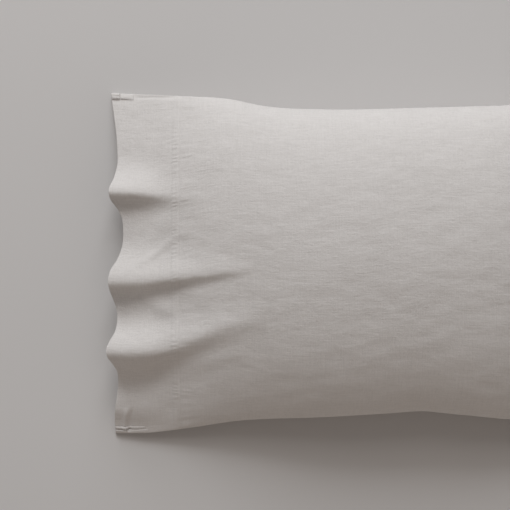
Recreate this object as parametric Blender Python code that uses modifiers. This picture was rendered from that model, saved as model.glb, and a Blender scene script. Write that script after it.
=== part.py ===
"""Bed pillow: a linen case with an open hemmed mouth, and the piped, filled insert that it holds.

Metres, +Z up. The pillow lies on its back panel at z = 0. X runs along it, from the open mouth (-X)
to the closed end (+X), and Y across it. Every cloth layer is a grid bent by one shared shape, so
that the layers nest: along is the distance from the mouth, and across runs from 0 at the +Y side
seam to 1 at the -Y side seam.
"""

from math import cos, exp, pi, sin

import bmesh
import bpy
import numpy as np
from mathutils import Matrix, Vector

# The case as it lies filled
CASE_LENGTH = 0.736
CASE_HEIGHT = 0.160
MOUTH_WIDTH = 0.485
WAIST_WIDTH = 0.417
CLOSED_END_WIDTH = 0.470
WAIST_FROM_MOUTH = 0.430
SIDE_SEAM_HEIGHT = 0.060
MOUTH_SEAM_HEIGHT = 0.0035
CLOSED_SEAM_HEIGHT = 0.030

# The hem and its ripples: (crest's place along Y, height, reach from the mouth)
HEM_DEPTH = 0.1016
HEM_OPENING = 0.036
RIPPLES = ((0.100, 0.012, 0.090), (-0.018, 0.014, 0.200), (-0.112, 0.014, 0.180))
RIPPLE_SUNNY_SIDE = 0.036
RIPPLE_STEEP_SIDE = 0.021
MOUTH_RECESS = 0.014
STITCH_FROM_HEM_EDGE = 0.002

# The insert
INSERT_FROM_HEM = 0.0164
INSERT_FROM_SEAMS = 0.004
INSERT_EASE = 0.0007
FILL_EASE = 0.0006
FILL_END_CLEARANCE = 0.006
PIPING_RADIUS = 0.0015
CLOSING_STITCH_LENGTH = 0.180

# Cloth, seams and threads
CASE_CLOTH = 0.0008
TICKING_CLOTH = 0.0006
GAP = 0.0003
SEAM_WIDTH = 0.009
SEAM_THICKNESS = 0.0016
THREAD_RADIUS = 0.0004
BACKTACK_LENGTH = 0.012
BACKTACK_RADIUS = 0.0007
LABEL_THICKNESS = 0.0006
CASE_LABEL_WIDTH = 0.026
CASE_LABEL_FROM_MOUTH = 0.044
INSERT_LABEL = (0.040, 0.055)
INSERT_LABEL_PLACE = (0.020, 0.080)

# How the shape runs out from the waist to the mouth and to the closed end
WIDTH_POWER_TO_MOUTH = 1.6
WIDTH_POWER_TO_CLOSED_END = 1.5
CROWN_POWERS_TO_MOUTH = (2.6, 0.8)
CROWN_POWERS_TO_CLOSED_END = (3.2, 0.5)
SEAM_POWER_TO_MOUTH = 1.2
SEAM_POWER_TO_CLOSED_END = 1.5
BOTTOM_POWERS_TO_CLOSED_END = (4, 0.5)
INSERT_END_POWERS = (6, 0.5)
BOTTOM_FULLNESS = 1.2
BOTTOM_DROP_AT_HEM = 0.012
RIPPLE_FULL_SHARE = 0.4
INSERT_SIDE_INSETS = 3

# How finely the grids are cut
CUTS_ACROSS = 14
FACE_CUTS_ACROSS = 2 * CUTS_ACROSS
CASE_CUTS_ALONG = 16
HEM_CUTS_ALONG = 5
CORD_ROUNDNESS = 1

SEAM_STAND_OFF = SEAM_THICKNESS / 2 + GAP + CASE_CLOTH
PIPING_STAND_OFF = PIPING_RADIUS + GAP + TICKING_CLOTH
LAYER_STEP = CASE_CLOTH + GAP
CROWN_RISE = CASE_HEIGHT - SIDE_SEAM_HEIGHT - SEAM_STAND_OFF - HEM_OPENING
INSERT_FROM_MOUTH = HEM_DEPTH + INSERT_FROM_HEM
INSERT_END = CASE_LENGTH - SEAM_WIDTH - INSERT_FROM_SEAMS
HEM_STITCH_LINE = HEM_DEPTH - STITCH_FROM_HEM_EDGE

for old in list(bpy.data.objects):
    bpy.data.objects.remove(old)

pillow = bpy.data.collections.new("bed_pillow")
bpy.context.scene.collection.children.link(pillow)


def material(name, color, roughness):
    made = bpy.data.materials.new(name)
    made.use_nodes = True
    shader = made.node_tree.nodes["Principled BSDF"]
    shader.inputs["Base Color"].default_value = (*color, 1.0)
    shader.inputs["Roughness"].default_value = roughness
    shader.inputs["Metallic"].default_value = 0.0
    return made


LINEN = material("grey_linen", (0.56, 0.52, 0.49), 0.95)
LINEN_THREAD = material("linen_thread", (0.50, 0.46, 0.43), 0.85)
TICKING = material("white_cotton_ticking", (0.78, 0.77, 0.74), 0.9)
PIPING = material("white_cotton_piping", (0.72, 0.71, 0.68), 0.85)
LABEL_TAPE = material("white_label_tape", (0.82, 0.81, 0.79), 0.7)
FILLING = material("white_fibre_filling", (0.86, 0.86, 0.85), 1.0)


def place(obj, name, finish):
    """Names a finished object, gives it its finish and moves it into the pillow's collection."""
    obj.name = name
    obj.data.name = name
    obj.data.materials.clear()
    obj.data.materials.append(finish)
    pillow.objects.link(obj)
    return obj


# ---- the shared shape


def world(along, y, z):
    return Vector((along - CASE_LENGTH / 2, y, z))


def from_waist(along):
    """0 at the waist, 1 at the inner edge of the hem and at the closed end, and 1 all over the hem."""
    if along < WAIST_FROM_MOUTH:
        return min(1.0, (WAIST_FROM_MOUTH - along) / (WAIST_FROM_MOUTH - HEM_DEPTH))
    return min(1.0, (along - WAIST_FROM_MOUTH) / (CASE_LENGTH - WAIST_FROM_MOUTH))


def half_width(along):
    if along < WAIST_FROM_MOUTH:
        share = ((WAIST_FROM_MOUTH - along) / WAIST_FROM_MOUTH) ** WIDTH_POWER_TO_MOUTH
        return (WAIST_WIDTH + (MOUTH_WIDTH - WAIST_WIDTH) * share) / 2
    share = min(1.0, (along - WAIST_FROM_MOUTH) / (CASE_LENGTH - WAIST_FROM_MOUTH))
    share **= WIDTH_POWER_TO_CLOSED_END
    return (WAIST_WIDTH + (CLOSED_END_WIDTH - WAIST_WIDTH) * share) / 2


def run_out(share, powers):
    """1 at 0, rounding off to 0 at 1: the first power keeps it full, the second rounds its end."""
    full, end = powers
    return max(0.0, 1 - share**full) ** end


def crown(along):
    """How much of the crown's rise this section has: 0 at the hem and the closed end, 1 at the waist."""
    to_mouth = along < WAIST_FROM_MOUTH
    return run_out(from_waist(along), CROWN_POWERS_TO_MOUTH if to_mouth else CROWN_POWERS_TO_CLOSED_END)


def seam_height(along):
    if along < WAIST_FROM_MOUTH:
        low, power = MOUTH_SEAM_HEIGHT, SEAM_POWER_TO_MOUTH
        share = (WAIST_FROM_MOUTH - along) / WAIST_FROM_MOUTH
    else:
        low, power = CLOSED_SEAM_HEIGHT, SEAM_POWER_TO_CLOSED_END
        share = from_waist(along)
    return low + (SIDE_SEAM_HEIGHT - low) * run_out(min(1.0, share), (2, power))


def top_rise(along):
    """The face's rise above the side seams, which closes at the closed end."""
    opening = HEM_OPENING if along < WAIST_FROM_MOUTH else HEM_OPENING * crown(along)
    return opening + CROWN_RISE * crown(along)


def bottom_drop(along):
    """The back's drop below the side seams, before the surface that it lies on flattens it."""
    drop = BOTTOM_FULLNESS * (seam_height(along) - SEAM_STAND_OFF) + BOTTOM_DROP_AT_HEM
    if along < WAIST_FROM_MOUTH:
        return drop
    return drop * run_out(from_waist(along), BOTTOM_POWERS_TO_CLOSED_END)


def fade(share):
    """1 at 0, falling smoothly to 0 at 1."""
    return 0.5 + 0.5 * cos(pi * min(1.0, max(0.0, share)))


def ripple_share(y, crest):
    side = RIPPLE_SUNNY_SIDE if y > crest else RIPPLE_STEEP_SIDE
    return exp(-(((y - crest) / side) ** 2))


def ripple_height(along, y):
    return sum(
        height * ripple_share(y, crest) * fade(along / reach) for crest, height, reach in RIPPLES
    )


def mouth_recess(y):
    """The mouth's edge draws back between the ripples, and is square at the corners."""
    ridge = min(1.0, sum(ripple_share(y, crest) for crest, _, _ in RIPPLES))
    corner = fade((MOUTH_WIDTH / 2 - abs(y)) / (2 * RIPPLE_SUNNY_SIDE))
    return MOUTH_RECESS * (1 - ridge) * (1 - corner)


def drawn_back(along, y):
    return along + mouth_recess(y) * max(0.0, 1 - along / HEM_DEPTH) ** 2


def section(half, across):
    """(y, how much of the rise is reached here) of a section this wide."""
    angle = pi * across
    return half * cos(angle), max(0.0, sin(angle))


def face_point(along, across):
    y, share = section(half_width(along), across)
    ripple = ripple_height(along, y) * min(1.0, share / RIPPLE_FULL_SHARE)
    height = seam_height(along) + SEAM_STAND_OFF + top_rise(along) * share + ripple
    return world(drawn_back(along, y), y, height)


def back_point(along, across):
    y, share = section(half_width(along), across)
    height = seam_height(along) - SEAM_STAND_OFF - bottom_drop(along) * share
    return world(drawn_back(along, y), y, max(0.0, height))


def insert_share(along, end_clearance):
    """Closes the insert, or what lies this far from its ends, at both ends."""
    middle = (INSERT_FROM_MOUTH + INSERT_END) / 2
    s = abs(along - middle) / ((INSERT_END - INSERT_FROM_MOUTH) / 2 - end_clearance)
    return run_out(min(1.0, s), INSERT_END_POWERS)


def insert_half_width(along):
    return half_width(along) - SEAM_WIDTH - INSERT_FROM_SEAMS


def insert_top(along, across, inset=0.0, end_clearance=0.0):
    """The upper side of the insert, or of what lies this far inside it."""
    y, share = section(insert_half_width(along) - INSERT_SIDE_INSETS * inset, across)
    stand_off = PIPING_STAND_OFF - inset
    full = SEAM_STAND_OFF + top_rise(along) - LAYER_STEP - INSERT_EASE - inset - stand_off
    rise = max(0.0, full) * insert_share(along, end_clearance)
    return world(along, y, seam_height(along) + stand_off + rise * share)


def insert_bottom(along, across, inset=0.0, end_clearance=0.0):
    y, share = section(insert_half_width(along) - INSERT_SIDE_INSETS * inset, across)
    stand_off = PIPING_STAND_OFF - inset
    full = SEAM_STAND_OFF + bottom_drop(along) - LAYER_STEP - INSERT_EASE - inset - stand_off
    drop = max(0.0, full) * insert_share(along, end_clearance)
    height = seam_height(along) - stand_off - drop * share
    return world(along, y, max(LAYER_STEP + inset, height))


# ---- ways of making cloth, cords and tapes


def grid(columns, rows):
    """A flat grid whose x and y run from 0 to 1."""
    mesh = bmesh.new()
    bmesh.ops.create_grid(mesh, x_segments=columns, y_segments=rows, size=0.5)
    for vertex in mesh.verts:
        vertex.co.x += 0.5
        vertex.co.y += 0.5
    return mesh


def finished(mesh, name, finish):
    """Turns a bmesh into a finished object in the pillow's collection."""
    data = bpy.data.meshes.new(name)
    mesh.to_mesh(data)
    mesh.free()
    data.shade_smooth()
    return place(bpy.data.objects.new(name, data), name, finish)


def cloth(name, stations, rows, shape, thickness, finish, outward=1, depth=0.0):
    """A panel: a grid over stations along and rows across, bent to its shape and given a thickness.

    outward is 1 where the cloth's outer side faces up, and -1 where it faces down. depth is how far
    its outer side lies inside the shape.
    """
    mesh = grid(len(stations) - 1, len(rows) - 1)
    for vertex in mesh.verts:
        column = round(vertex.co.x * (len(stations) - 1))
        row = round(vertex.co.y * (len(rows) - 1))
        vertex.co = shape(stations[column], rows[row])
    mesh.normal_update()
    if sum(face.normal.z for face in mesh.faces) * outward < 0:
        bmesh.ops.reverse_faces(mesh, faces=mesh.faces)
    thick = finished(mesh, name, finish).modifiers.new("thickness", "SOLIDIFY")
    thick.thickness = thickness
    thick.offset = -1.0 - 2.0 * depth / thickness
    thick.use_even_offset = True


def above(shape, along, across, height, step=0.004):
    """The point this high over a shape, measured along its normal."""
    here = shape(along, across)
    forward = shape(along + step, across) - shape(along - step, across)
    side = shape(along, across + step) - shape(along, across - step)
    normal = side.cross(forward).normalized()
    if normal.z < 0:
        normal.negate()
    return here + normal * height


def cord(name, points, radius, finish, closed=False):
    """A round cord or thread through the points, with filled ends."""
    curve = bpy.data.curves.new(name, "CURVE")
    curve.dimensions = "3D"
    curve.bevel_depth = radius
    curve.bevel_resolution = CORD_ROUNDNESS
    curve.use_fill_caps = not closed
    spline = curve.splines.new("POLY")
    spline.points.add(len(points) - 1)
    for target, point in zip(spline.points, points, strict=True):
        target.co = (*point, 1.0)
    spline.use_cyclic_u = closed
    place(bpy.data.objects.new(name, curve), name, finish)


def spread(start, end, count):
    return [float(value) for value in np.linspace(start, end, count)]


def rounded(start, end, count):
    """Stations from start to end, closer together towards both ends."""
    turns = spread(0.0, pi, count)
    return [start + (end - start) * (1 - cos(turn)) / 2 for turn in turns]


ROWS = spread(0.0, 1.0, CUTS_ACROSS + 1)
FACE_ROWS = spread(0.0, 1.0, FACE_CUTS_ACROSS + 1)
HEM_STATIONS = spread(0.0, HEM_STITCH_LINE, HEM_CUTS_ALONG + 1) + [HEM_DEPTH]
BODY_STATIONS = rounded(HEM_DEPTH, CASE_LENGTH, CASE_CUTS_ALONG + 1)
CASE_STATIONS = HEM_STATIONS + BODY_STATIONS[1:]


def stations_between(start, end):
    """The case's own stations between two ends, and the ends, so that nested layers stay nested."""
    shared = [along for along in BODY_STATIONS if start + 2 * GAP < along < end - 2 * GAP]
    return [start, *shared, end]


# ---- the case


def row_at(half, y):
    """Where across a section this wide a place along Y lies."""
    return float(np.arccos(y / half)) / pi


def rows_inside_seams(rows):
    """The rows that lie inside the side seams' allowances, at the mouth and over all the hem."""
    edge = row_at(half_width(HEM_DEPTH), half_width(HEM_DEPTH) - SEAM_WIDTH - LAYER_STEP)
    return [row for row in rows if edge <= row <= 1 - edge]


def make_case_panels():
    cloth("case_face_panel", CASE_STATIONS, FACE_ROWS, face_point, CASE_CLOTH, LINEN)
    cloth("case_back_panel", CASE_STATIONS, ROWS, back_point, CASE_CLOTH, LINEN, outward=-1)


def make_hem_plies():
    """The hem's turned-in ply, one layer inside each panel."""
    face_rows = rows_inside_seams(FACE_ROWS)
    rows = rows_inside_seams(ROWS)
    inside = {"thickness": CASE_CLOTH, "finish": LINEN, "depth": LAYER_STEP}
    cloth("face_hem_ply", HEM_STATIONS, face_rows, face_point, **inside)
    cloth("back_hem_ply", HEM_STATIONS, rows, back_point, outward=-1, **inside)


def make_side_seam(name, side):
    """The closed seam allowance along one side, folded in between the two panels."""

    def strip(along, across):
        half = half_width(along)
        height = seam_height(along) + SEAM_THICKNESS / 2
        return world(along, side * (half - SEAM_WIDTH * across), height)

    cloth(name, CASE_STATIONS, (0.0, 1.0), strip, SEAM_THICKNESS, LINEN)


def make_closed_end_seam():
    reach = half_width(CASE_LENGTH - SEAM_WIDTH) - SEAM_WIDTH - 2 * GAP

    def strip(along, across):
        height = seam_height(along) + SEAM_THICKNESS / 2
        return world(along, reach * (1 - 2 * across), height)

    stations = stations_between(CASE_LENGTH - SEAM_WIDTH, CASE_LENGTH)
    cloth("closed_end_seam", stations, spread(0.0, 1.0, 9), strip, SEAM_THICKNESS, LINEN)


def make_hem_stitching():
    """One line of thread across each panel, just inside the hem's inner edge."""
    lift = THREAD_RADIUS + GAP
    rows = rows_inside_seams(FACE_ROWS)
    on_face = [above(face_point, HEM_STITCH_LINE, row, lift) for row in rows]
    cord("face_hem_stitching", on_face, THREAD_RADIUS, LINEN_THREAD)
    over_ply = LAYER_STEP + CASE_CLOTH + lift
    rows = rows_inside_seams(ROWS)
    on_back = [above(back_point, HEM_STITCH_LINE, row, over_ply) for row in rows]
    cord("back_hem_stitching", on_back, THREAD_RADIUS, LINEN_THREAD)


def make_backtack(name, side):
    """The bar of thread that locks a side seam at the mouth, on top of the face panel."""
    points = []
    for along in spread(GAP, BACKTACK_LENGTH, 5):
        half = half_width(along)
        row = row_at(half, side * (half - SEAM_WIDTH / 2))
        points.append(above(face_point, along, row, BACKTACK_RADIUS + GAP))
    cord(name, points, BACKTACK_RADIUS, LINEN_THREAD)


def make_case_label():
    """A blank tape by the lower side seam, lying on the back hem's turned-in ply."""
    end = CASE_LABEL_FROM_MOUTH + CASE_LABEL_WIDTH
    between = [along for along in HEM_STATIONS if CASE_LABEL_FROM_MOUTH < along < end]
    cloth(
        "case_care_label",
        [CASE_LABEL_FROM_MOUTH, *between, end],
        rows_inside_seams(ROWS)[-2:],
        back_point,
        LABEL_THICKNESS,
        LABEL_TAPE,
        outward=-1,
        depth=2 * (LAYER_STEP + GAP),
    )


# ---- the insert


def make_ticking():
    stations = stations_between(INSERT_FROM_MOUTH, INSERT_END)
    ticking = {"thickness": TICKING_CLOTH, "finish": TICKING}
    cloth("ticking_face_panel", stations, ROWS, insert_top, **ticking)
    cloth("ticking_back_panel", stations, ROWS, insert_bottom, outward=-1, **ticking)


def quarter_turn(center, radius, start):
    """Three points round a corner, on the way from one side of it to the next."""
    turns = [start - share * pi / 2 for share in (0.25, 0.5, 0.75)]
    return [(center[0] + radius * cos(turn), center[1] + radius * sin(turn)) for turn in turns]


def make_piping():
    """The corded edge, one loop round the insert between its two panels."""
    corner = 4 * PIPING_RADIUS
    first, last = INSERT_FROM_MOUTH + corner, INSERT_END - corner
    first_reach = insert_half_width(INSERT_FROM_MOUTH) - corner
    last_reach = insert_half_width(INSERT_END) - corner
    sides = stations_between(first, last)
    loop = [(along, insert_half_width(along)) for along in sides]
    loop += quarter_turn((last, last_reach), corner, pi / 2)
    loop += [(INSERT_END, y) for y in spread(last_reach, -last_reach, 9)]
    loop += quarter_turn((last, -last_reach), corner, 0.0)
    loop += [(along, -insert_half_width(along)) for along in reversed(sides)]
    loop += quarter_turn((first, -first_reach), corner, -pi / 2)
    loop += [(INSERT_FROM_MOUTH, y) for y in spread(-first_reach, first_reach, 9)]
    loop += quarter_turn((first, first_reach), corner, pi)
    points = [world(along, y, seam_height(along)) for along, y in loop]
    cord("ticking_piping", points, PIPING_RADIUS, PIPING, closed=True)


def make_closing_stitch():
    """The line of thread that closes the insert's end after filling, a little in from its edge."""
    along = stations_between(INSERT_FROM_MOUTH, INSERT_END)[1]
    half = insert_half_width(along)
    reach = CLOSING_STITCH_LENGTH / 2
    rows = [row_at(half, y) for y in spread(reach, -reach, 9)]
    points = [above(insert_top, along, row, THREAD_RADIUS + GAP, step=0.001) for row in rows]
    cord("ticking_closing_stitch", points, THREAD_RADIUS, PIPING)


def make_insert_label():
    """A blank tape on the insert's upper panel, near the corner at the mouth."""
    width, length = INSERT_LABEL
    start = INSERT_FROM_MOUTH + INSERT_LABEL_PLACE[0]

    def tape(along, across):
        y = INSERT_LABEL_PLACE[1] + length * (1 - across)
        row = row_at(insert_half_width(along), y)
        return above(insert_top, along, row, 2 * GAP + LABEL_THICKNESS)

    cloth(
        "insert_label",
        spread(start, start + width, 5),
        spread(0.0, 1.0, 6),
        tape,
        LABEL_THICKNESS,
        LABEL_TAPE,
    )


def make_fill():
    """The filling: a grid drawn out into a slab, whose two sides take the insert's inner shape."""
    inset = TICKING_CLOTH + FILL_EASE
    first = INSERT_FROM_MOUTH + FILL_END_CLEARANCE
    stations = stations_between(first, INSERT_END - FILL_END_CLEARANCE)
    mesh = grid(len(stations) - 1, CUTS_ACROSS)
    made = bmesh.ops.extrude_face_region(mesh, geom=mesh.faces[:])
    lower = {item for item in made["geom"] if isinstance(item, bmesh.types.BMVert)}
    for vertex in mesh.verts:
        along = stations[round(vertex.co.x * (len(stations) - 1))]
        shape = insert_bottom if vertex in lower else insert_top
        vertex.co = shape(along, vertex.co.y, inset, FILL_END_CLEARANCE)
    bmesh.ops.recalc_face_normals(mesh, faces=mesh.faces)
    finished(mesh, "fill", FILLING)


def hang_on_slide(names):
    """Parents the insert's pieces to an empty on the line along which the insert leaves the mouth."""
    slide = bpy.data.objects.new("insert_slide_line", None)
    slide.location = world(INSERT_FROM_MOUTH, 0.0, seam_height(INSERT_FROM_MOUTH))
    pillow.objects.link(slide)
    for name in names:
        piece = pillow.objects[name]
        piece.parent = slide
        piece.matrix_parent_inverse = Matrix.Translation(-slide.location)


make_case_panels()
make_hem_plies()
make_side_seam("upper_side_seam", 1)
make_side_seam("lower_side_seam", -1)
make_closed_end_seam()
make_hem_stitching()
make_backtack("upper_mouth_backtack", 1)
make_backtack("lower_mouth_backtack", -1)
make_case_label()
make_ticking()
make_piping()
make_closing_stitch()
make_insert_label()
make_fill()
hang_on_slide(
    [
        "ticking_face_panel",
        "ticking_back_panel",
        "ticking_piping",
        "ticking_closing_stitch",
        "insert_label",
        "fill",
    ]
)
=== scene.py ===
"""A filled bed pillow in a linen case with an open hemmed mouth, lying on its back panel.

Metres, +Z up. X runs along the pillow from the mouth (-X) to the closed end, and Y across it. The
case's panels, seams and stitches all follow one shared skin, so the layers stay nested: along is
the distance from the mouth, and across runs from 0 at the +Y side seam to 1 at the -Y side seam.
"""

import math

import bpy
import numpy as np
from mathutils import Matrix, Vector, noise


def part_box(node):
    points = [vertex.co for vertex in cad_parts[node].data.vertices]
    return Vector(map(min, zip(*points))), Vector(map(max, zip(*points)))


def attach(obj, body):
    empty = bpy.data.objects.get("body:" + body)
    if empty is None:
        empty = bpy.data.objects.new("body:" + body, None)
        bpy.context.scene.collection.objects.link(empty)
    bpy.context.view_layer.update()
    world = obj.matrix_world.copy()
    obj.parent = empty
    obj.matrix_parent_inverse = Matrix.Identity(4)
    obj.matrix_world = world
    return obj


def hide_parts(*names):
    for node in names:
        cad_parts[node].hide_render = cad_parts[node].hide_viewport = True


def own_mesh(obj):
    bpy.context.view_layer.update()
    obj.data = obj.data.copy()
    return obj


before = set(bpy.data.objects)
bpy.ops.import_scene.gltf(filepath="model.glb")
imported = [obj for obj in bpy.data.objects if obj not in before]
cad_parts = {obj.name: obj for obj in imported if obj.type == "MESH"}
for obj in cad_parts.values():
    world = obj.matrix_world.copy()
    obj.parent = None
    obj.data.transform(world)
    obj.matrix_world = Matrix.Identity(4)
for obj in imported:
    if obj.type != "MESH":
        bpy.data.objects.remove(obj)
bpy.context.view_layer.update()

# ---- The shape that every piece of the case follows ----
# The linen is soft and crumpled, and lies over a plump insert that stops short of the hem. The
# mouth gapes: the face stands off the back there, and falls into three ripples, each with a
# steep side.

FACE, BACK = 1, -1
(MOUTH_X, _, _), (CLOSED_X, _, _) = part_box("case_back_panel")
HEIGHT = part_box("case_face_panel")[1].z
LENGTH = CLOSED_X - MOUTH_X
WAIST = 0.430
HEM_DEPTH = 0.1016
STITCH_LINE = HEM_DEPTH - 0.002
FLAT_WIDTH, FLAT_LENGTH = 0.508, 0.762
LINEN = 0.0005
SEAM_GAP = 0.0006
MOUTH_SEAM_HEIGHT, SIDE_SEAM_HEIGHT, CLOSED_SEAM_HEIGHT = 0.0035, 0.060, 0.030
MOUTH_RISE = 0.040

# (along, half width) of the side with the straight hem, and of the side that is tucked in more
UPPER_EDGE = ((0.0, 0.2425), (0.10, 0.2360), (0.17, 0.2300), (0.22, 0.2190), (0.30, 0.2136),
              (0.43, 0.2150), (0.56, 0.2198), (0.66, 0.2270), (0.736, 0.2350))
LOWER_EDGE = ((0.0, 0.2425), (0.055, 0.2405), (0.105, 0.2335), (0.18, 0.2207), (0.30, 0.2135),
              (0.39, 0.2075), (0.435, 0.2045), (0.48, 0.2085), (0.56, 0.2165), (0.66, 0.2260),
              (0.736, 0.2350))
# (across in metres, how far the mouth's edge draws back there)
MOUTH_EDGE = ((-0.2425, 0.006), (-0.210, 0.007), (-0.190, 0.010), (-0.170, 0.012),
              (-0.152, 0.012), (-0.140, 0.007), (-0.131, 0.002), (-0.120, 0.000), (-0.108, 0.004),
              (-0.097, 0.010), (-0.080, 0.013), (-0.066, 0.012), (-0.052, 0.008), (-0.038, 0.004),
              (-0.020, 0.003), (-0.008, 0.006), (0.004, 0.013), (0.020, 0.019), (0.044, 0.021),
              (0.066, 0.018), (0.077, 0.012), (0.087, 0.005), (0.104, 0.003), (0.118, 0.008),
              (0.140, 0.012), (0.165, 0.011), (0.2425, 0.000))
# Each ridge: (along, Y of its crest, height, reach of its gentle side, reach of its steep side)
RIDGES = (
    ((0.0, 0.098, 0.021, 0.025, 0.0125), (0.045, 0.096, 0.017, 0.026, 0.0115),
     (0.075, 0.094, 0.0075, 0.024, 0.011), (0.10, 0.091, 0.003, 0.022, 0.011),
     (0.14, 0.088, 0.0, 0.020, 0.011)),
    ((0.0, -0.0265, 0.025, 0.034, 0.0195), (0.045, -0.0265, 0.021, 0.034, 0.0155),
     (0.09, -0.022, 0.014, 0.028, 0.010), (0.13, -0.017, 0.0070, 0.022, 0.007),
     (0.17, -0.012, 0.0032, 0.018, 0.005), (0.205, -0.008, 0.0, 0.016, 0.005)),
    ((0.0, -0.125, 0.034, 0.034, 0.024), (0.045, -0.125, 0.031, 0.035, 0.022),
     (0.09, -0.117, 0.018, 0.032, 0.018), (0.13, -0.101, 0.0105, 0.022, 0.020),
     (0.17, -0.085, 0.0050, 0.018, 0.020), (0.225, -0.070, 0.0, 0.016, 0.018)),
    ((0.09, -0.150, 0.0, 0.014, 0.010), (0.12, -0.143, 0.0022, 0.014, 0.010),
     (0.17, -0.127, 0.0016, 0.014, 0.010), (0.20, -0.119, 0.0, 0.014, 0.010)),
    ((0.04, -0.050, 0.0, 0.012, 0.010), (0.072, -0.060, 0.0035, 0.014, 0.010),
     (0.10, -0.066, 0.0, 0.012, 0.010)),
    ((0.0, -0.206, 0.006, 0.030, 0.016), (0.05, -0.206, 0.004, 0.030, 0.016),
     (0.085, -0.206, 0.0, 0.03, 0.016)),
    ((0.03, -0.004, 0.0, 0.005, 0.004), (0.05, 0.004, 0.0012, 0.006, 0.005),
     (0.10, 0.038, 0.0010, 0.006, 0.005), (0.13, 0.050, 0.0, 0.006, 0.005)),
)


def through(keys, at):
    """Reads a smooth curve through keys, (place, value) in order, at these places."""
    places, values = (np.array(column, float) for column in zip(*keys))
    slopes = np.gradient(values, places)
    at = np.clip(at, places[0], places[-1])
    k = np.clip(np.searchsorted(places, at) - 1, 0, len(places) - 2)
    step = places[k + 1] - places[k]
    s = (at - places[k]) / step
    start = values[k] * (1 + 2 * s) * (1 - s) ** 2 + slopes[k] * step * s * (1 - s) ** 2
    return start + values[k + 1] * s * s * (3 - 2 * s) - slopes[k + 1] * step * s * s * (1 - s)


def ridges(along, y):
    """The height that the ridges add, their crests running along the pillow."""
    total = np.zeros_like(y)
    for keys in RIDGES:
        starts = [key[0] for key in keys]
        crest, height, gentle, steep = (
            through(list(zip(starts, [key[i] for key in keys])), along) for i in range(1, 5)
        )
        off = y - crest
        reach = np.where(off > 0, gentle, steep)
        inside = (along >= starts[0] - 1e-9) & (along <= starts[-1])
        bump = np.exp(-((off / reach) ** 2))
        hollow = 0.10 * np.exp(-(((off + 2.1 * steep) / (1.1 * steep)) ** 2))
        total += np.where(inside, height * (bump - hollow), 0.0)
    return total


def half_width(along, upper):
    """How far the side seam lies from the pillow's middle, on the upper side or on the lower."""
    return np.where(upper, through(UPPER_EDGE, along), through(LOWER_EDGE, along))


def past_waist(along):
    """0 as far as the waist, from where it grows to 1 at the closed end."""
    return np.clip((along - WAIST) / (LENGTH - WAIST), 0, 1)


def seam_height(along):
    """The height of the side seams, which the plump insert lifts off the bed between the ends."""
    to_mouth = np.clip((WAIST - along) / WAIST, 0, 1)
    low = np.where(along < WAIST, MOUTH_SEAM_HEIGHT, CLOSED_SEAM_HEIGHT)
    lift = np.where(along < WAIST, (1 - to_mouth**2) ** 1.2, (1 - past_waist(along) ** 2) ** 1.5)
    return low + (SIDE_SEAM_HEIGHT - low) * lift


def crown(along):
    """How much of its full rise the face has: it swells past the hem, and rounds off at the end."""
    start = 0.055
    swell = np.clip((along - start) / (WAIST - start), 0, 1)
    swelling = (1 - (1 - swell) ** 2.7) * (1 - np.exp(-swell / 0.10))
    return np.where(along < WAIST, swelling, np.sqrt(1 - past_waist(along) ** 3.2))


def face_rise(along):
    """The rise of the face's middle above its side seams."""
    full = HEIGHT - SIDE_SEAM_HEIGHT - SEAM_GAP
    mouth = np.where(along < WAIST, MOUTH_RISE, MOUTH_RISE * crown(along))
    return mouth + (full - MOUTH_RISE) * crown(along)


def back_drop(along):
    """The drop of the back's middle below its side seams, before the bed flattens it."""
    drop = 1.2 * (seam_height(along) - SEAM_GAP) + 0.012
    return drop * np.sqrt(1 - past_waist(along) ** 4)


def section(turn, along):
    """How much of the rise each row has: an arch at the mouth, a full ellipse at the waist."""
    arch = 1 - np.abs(np.cos(turn)) ** 2.4
    full = crown(along)
    return arch * (1 - full) + np.sin(turn) * full


def rows_at(distance):
    """The rows that lie this far in from the +Y side seam, measured along the cloth."""
    turn = np.linspace(0, 1, 4001)
    y, z = 0.215 * np.cos(math.pi * turn), 0.080 * np.sin(math.pi * turn)
    length = np.concatenate([[0], np.cumsum(np.hypot(np.diff(y), np.diff(z)))])
    return np.interp(np.asarray(distance) / FLAT_WIDTH * length[-1], length, turn)


def row_in(along, inset, lower=False):
    """The row that lies this far in from the side seam, measured level, at each place along."""
    half = half_width(along, not lower)
    row = np.arccos(1 - np.asarray(inset) / half) / math.pi
    return 1 - row if lower else row


def shaped(along, across, side):
    """Points of the outer surface before it is crumpled, as stations along by rows across."""
    along, across = np.meshgrid(along, across, indexing="ij")
    turn = math.pi * across
    y, share = half_width(along, across < 0.5) * np.cos(turn), np.sin(turn)
    if side == FACE:
        z = seam_height(along) + SEAM_GAP + face_rise(along) * section(turn, along)
        z += ridges(along, y) * np.minimum(1, share / 0.4)
    else:
        z = np.maximum(seam_height(along) - SEAM_GAP - back_drop(along) * share, 0.0)
    recess = through(MOUTH_EDGE, y)
    if side == BACK:
        recess = recess - 0.005 * np.exp(-(((y + 0.157) / 0.008) ** 2))
    back_by = recess * np.clip(1 - along / HEM_DEPTH, 0, 1) ** 2
    tuck = 0.006 * share * np.clip((along - 0.6) / (LENGTH - 0.6), 0, 1) ** 2
    return np.stack([MOUTH_X + along + back_by - tuck, y, z], axis=-1)


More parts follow.
